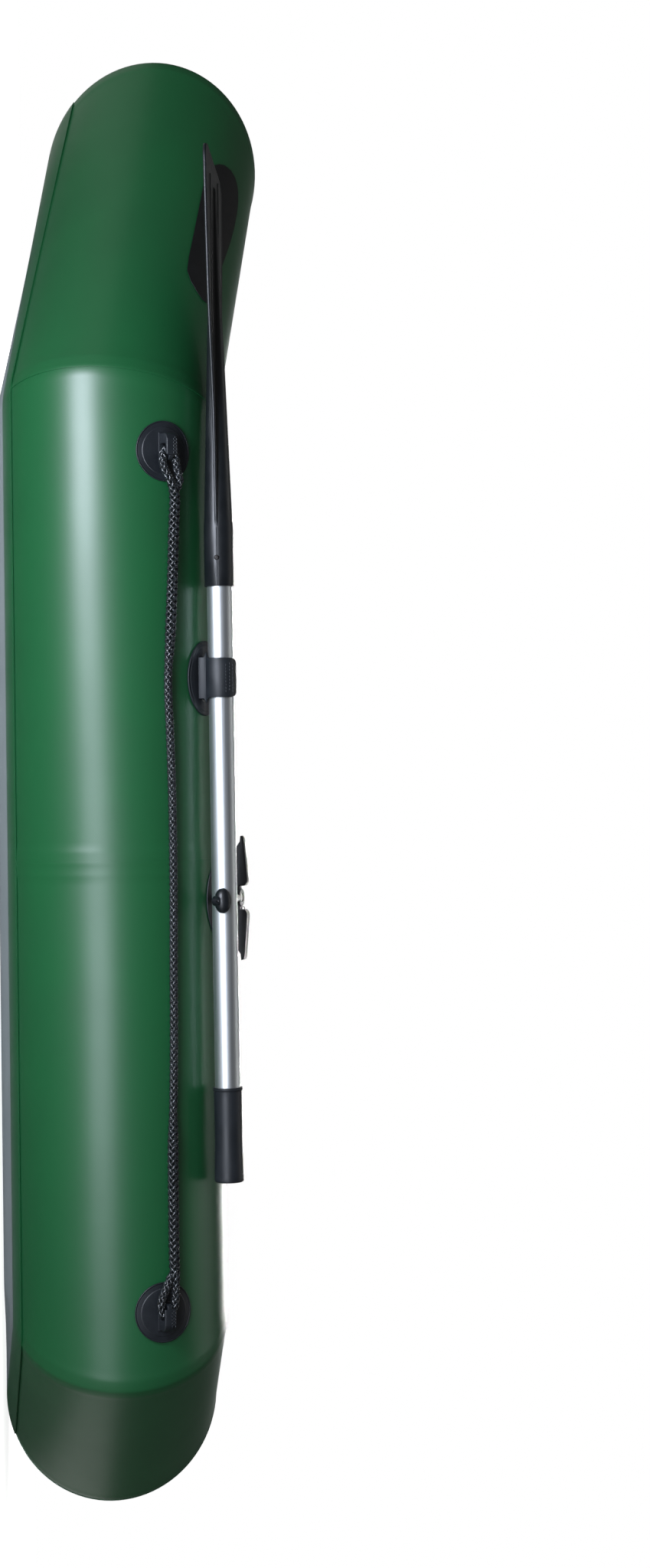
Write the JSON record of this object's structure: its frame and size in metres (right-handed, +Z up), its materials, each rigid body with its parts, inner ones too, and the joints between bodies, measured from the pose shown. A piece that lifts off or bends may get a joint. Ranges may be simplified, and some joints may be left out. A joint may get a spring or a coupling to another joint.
{
  "type": "inflatable boat",
  "caption": "Inflatable rowing boat of round mitred tubes with two stowed oars on pivoting oarlocks, lifelines, a bottom sheet and sliding bench seats.",
  "frame": {"origin": "on the flat underside of the bottom sheet, below the middle of the boat's length and breadth", "axes": "+X forward to the bow, +Y to port, +Z up"},
  "size_m": [2.1368, 1.1168, 0.394],
  "materials": {
    "green_pvc": "satin woven PVC",
    "grey_pvc": "satin woven PVC",
    "black_rubber": "matte",
    "black_plastic": "matte",
    "grey_plastic": "matte",
    "black_rope": "braided cord",
    "aluminium": "satin anodised",
    "steel": "brushed",
    "plywood": "varnished"
  },
  "bodies": {
    "hull": {"stern_panel": "green_pvc", "bow_panel": "green_pvc", "floor_sheet": "grey_pvc", "stern_quarter_port": "green_pvc", "side_tube_rear_port": "green_pvc", "side_tube_front_port": "green_pvc", "bow_quarter_port": "green_pvc", "bulkhead_port": "green_pvc", "rope_holder_bow_port": "black_rubber", "rope_holder_stern_port": "black_rubber", "lifeline_port": "black_rope", "lifeline_leg_bow_port": "black_rope", "lifeline_leg_stern_port": "black_rope", "clip_base_port": "black_rubber", "clip_hook_port": "black_rubber", "oarlock_base_port": "black_plastic", "seat_rail_port": "black_rubber", "stern_quarter_starboard": "green_pvc", "side_tube_rear_starboard": "green_pvc", "side_tube_front_starboard": "green_pvc", "bow_quarter_starboard": "green_pvc", "bulkhead_starboard": "green_pvc", "rope_holder_bow_starboard": "black_rubber", "rope_holder_stern_starboard": "black_rubber", "lifeline_starboard": "black_rope", "lifeline_leg_bow_starboard": "black_rope", "lifeline_leg_stern_starboard": "black_rope", "clip_base_starboard": "black_rubber", "clip_hook_starboard": "black_rubber", "oarlock_base_starboard": "black_plastic", "seat_rail_starboard": "black_rubber", "valve_body_front": "black_plastic", "valve_body_rear": "black_plastic"},
    "rocker_port": {"oarlock_rocker_port": "steel"},
    "oar_port": {"oarlock_yoke_port": "black_plastic", "oar_shaft_port": "aluminium", "oar_grip_port": "black_rubber", "oar_blade_port": "black_plastic", "blade_screw_port": "steel"},
    "knob_port": {"oar_knob_port": "black_plastic"},
    "rocker_starboard": {"oarlock_rocker_starboard": "steel"},
    "oar_starboard": {"oarlock_yoke_starboard": "black_plastic", "oar_shaft_starboard": "aluminium", "oar_grip_starboard": "black_rubber", "oar_blade_starboard": "black_plastic", "blade_screw_starboard": "steel"},
    "knob_starboard": {"oar_knob_starboard": "black_plastic"},
    "seat_front": {"seat_board_front": "plywood", "seat_track_front_port": "aluminium", "seat_track_front_starboard": "aluminium"},
    "seat_rear": {"seat_board_rear": "plywood", "seat_track_rear_port": "aluminium", "seat_track_rear_starboard": "aluminium"},
    "valve_stem_front": {"valve_stem_front": "grey_plastic"},
    "valve_cap_front": {"valve_cap_front": "black_plastic"},
    "valve_stem_rear": {"valve_stem_rear": "grey_plastic"},
    "valve_cap_rear": {"valve_cap_rear": "black_plastic"}
  },
  "joints": [
    {"name": "oar_dip_port", "type": "hinge", "parent": "hull", "child": "rocker_port", "pos_m": [-0.167, 0.40608, 0.32462], "axis": [1, 0, 0], "range_deg": [0, 20]},
    {"name": "oar_swing_port", "type": "hinge", "parent": "rocker_port", "child": "oar_port", "pos_m": [-0.167, 0.40608, 0.32462], "axis": [0, 0.342, 0.9397], "range_deg": [0, 150], "deforming": ["clip_hook_port"]},
    {"name": "knob_turn_port", "type": "hinge", "parent": "oar_port", "child": "knob_port", "pos_m": [-0.167, 0.4877, 0.31172], "axis": [-0.0012, 0.9763, -0.2164], "range_deg": [0, 90]},
    {"name": "oar_dip_starboard", "type": "hinge", "parent": "hull", "child": "rocker_starboard", "pos_m": [-0.167, -0.40608, 0.32462], "axis": [-1, 0, 0], "range_deg": [0, 20]},
    {"name": "oar_swing_starboard", "type": "hinge", "parent": "rocker_starboard", "child": "oar_starboard", "pos_m": [-0.167, -0.40608, 0.32462], "axis": [0, 0.342, -0.9397], "range_deg": [0, 150], "deforming": ["clip_hook_starboard"]},
    {"name": "knob_turn_starboard", "type": "hinge", "parent": "oar_starboard", "child": "knob_starboard", "pos_m": [-0.167, -0.4877, 0.31172], "axis": [-0.0012, -0.9763, -0.2164], "range_deg": [0, 90]},
    {"name": "seat_slide_front", "type": "slide", "parent": "hull", "child": "seat_front", "axis": [1, 0, 0], "range_m": [-0.15, 0.09]},
    {"name": "seat_slide_rear", "type": "slide", "parent": "hull", "child": "seat_rear", "axis": [1, 0, 0], "range_m": [-0.08, 0.15]},
    {"name": "valve_press_front", "type": "slide", "parent": "hull", "child": "valve_stem_front", "axis": [0, -0.9272, -0.3746], "range_m": [0, 0.005], "stiffness_N_per_m": 300},
    {"name": "valve_cap_turn_front", "type": "hinge", "parent": "hull", "child": "valve_cap_front", "pos_m": [0.33, -0.24592, 0.22069], "axis": [0, 0.9272, 0.3746], "range_deg": [0, 90]},
    {"name": "valve_press_rear", "type": "slide", "parent": "hull", "child": "valve_stem_rear", "axis": [0, -0.9272, -0.3746], "range_m": [0, 0.005], "stiffness_N_per_m": 300},
    {"name": "valve_cap_turn_rear", "type": "hinge", "parent": "hull", "child": "valve_cap_rear", "pos_m": [-0.47, -0.24592, 0.22069], "axis": [0, 0.9272, 0.3746], "range_deg": [0, 90]}
  ]
}
